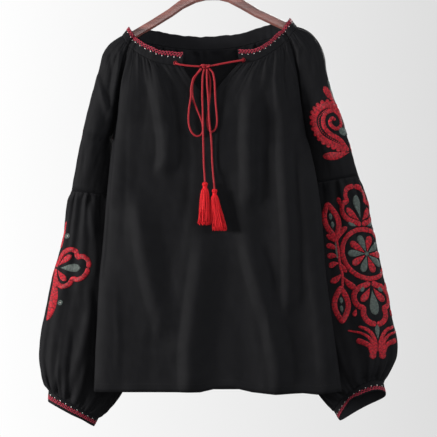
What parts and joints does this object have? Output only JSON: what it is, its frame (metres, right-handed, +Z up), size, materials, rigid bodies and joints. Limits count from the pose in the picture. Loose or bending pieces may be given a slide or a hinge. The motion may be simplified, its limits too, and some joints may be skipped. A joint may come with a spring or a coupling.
{
  "type": "embroidered blouse on a hanger",
  "caption": "Loose folk blouse with gathered neck, balloon sleeves, flower embroidery and a tasselled drawstring, hung on a wooden hanger.",
  "frame": {"origin": "inner top of the hanger's hook, where a rod carries it", "axes": "+Z up, the front faces -Y, +X to the viewer's right as seen from the front"},
  "size_m": [0.6516, 0.1198, 0.8736],
  "materials": {
    "cotton": "matt woven black cotton",
    "cord": "matt red twisted yarn",
    "wood": "reddish brown, thin varnish",
    "steel": "plain drawn wire"
  },
  "bodies": {
    "root": {"front": "cotton", "back": "cotton", "neckband": "cotton", "sleeve_upper_left": "cotton", "sleeve_upper_right": "cotton", "sleeve_lower_left": "cotton", "sleeve_lower_right": "cotton", "cuff_left": "cotton", "cuff_right": "cotton", "lace_left": "cord", "lace_right": "cord", "bow_left": "cord", "bow_right": "cord", "tail_left": "cord", "tail_right": "cord", "knot": "cord", "tassel_left": "cord", "tassel_right": "cord", "hanger_bar": "wood", "hanger_hook": "steel"}
  },
  "joints": []
}
